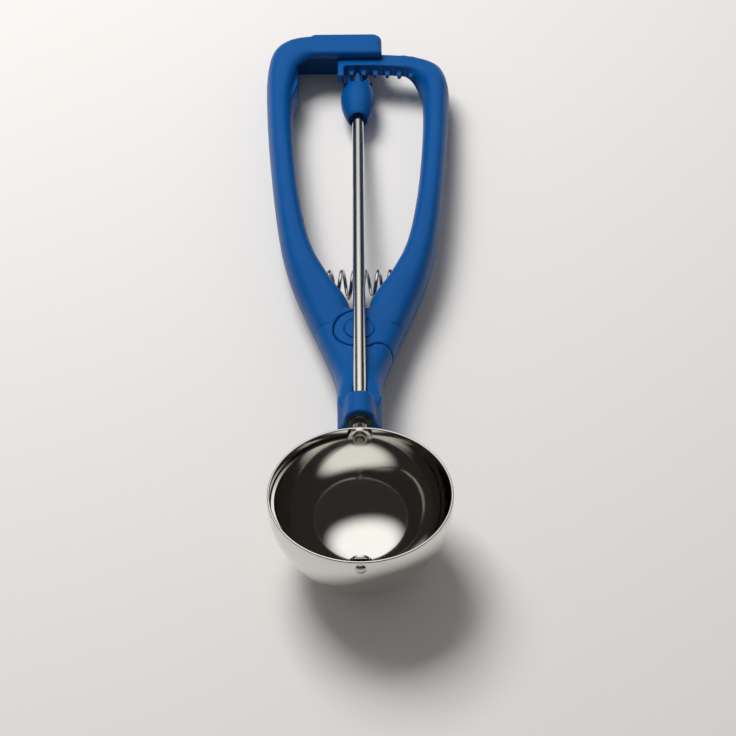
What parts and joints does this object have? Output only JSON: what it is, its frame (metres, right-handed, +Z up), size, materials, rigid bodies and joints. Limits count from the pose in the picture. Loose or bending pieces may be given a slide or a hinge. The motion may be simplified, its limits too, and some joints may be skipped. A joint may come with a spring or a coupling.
{
  "type": "lever ice cream scoop",
  "caption": "Lever ice cream scoop: steel bowl with a scraper blade that a squeezed plastic handle turns through a curved rack and a rod.",
  "frame": {"origin": "under the middle of the bounding box, on the surface that the scoop lies on", "axes": "+Y from the bowl to the handles, +X to the lever handle's side, +Z up out of the bowl"},
  "size_m": [0.0596, 0.2292, 0.0321],
  "materials": {
    "blue_plastic": "satin moulded",
    "polished_steel": "mirror polished",
    "satin_steel": "satin",
    "spring_steel": "bright wire",
    "dark_nylon": "moulded"
  },
  "bodies": {
    "frame": {"fixed_handle": "blue_plastic", "pivot_pin": "satin_steel", "pivot_washer": "satin_steel", "bowl": "polished_steel", "bowl_bracket": "satin_steel", "bracket_rivets": "satin_steel", "front_rivet": "polished_steel", "front_washer": "satin_steel", "rod_bush_upper": "dark_nylon", "rod_bush_lower": "dark_nylon", "return_spring": "spring_steel"},
    "lever": {"lever_handle": "blue_plastic", "pivot_bush": "dark_nylon", "pivot_cap": "blue_plastic"},
    "drive": {"drive_rod": "satin_steel", "pinion_cap": "blue_plastic", "scraper_blade": "polished_steel", "rear_washer": "satin_steel", "rod_circlip": "satin_steel"}
  },
  "joints": [
    {"name": "lever_squeeze", "type": "hinge", "parent": "frame", "child": "lever", "pos_m": [0, -0.01621, 0.00955], "axis": [0, 0.1096, 0.994], "range_deg": [0, 6.2], "stiffness_Nm_per_rad": 1.5, "springref_deg": -5.73, "deforming": ["return_spring"]},
    {"name": "blade_turn", "type": "hinge", "parent": "frame", "child": "drive", "pos_m": [0, 0.00162, 0.01613], "axis": [0, -0.994, 0.1096], "range_deg": [0, 142.76]}
  ],
  "couplings": [
    {"joint": "blade_turn", "follows": "lever_squeeze", "ratio": 23.01}
  ]
}
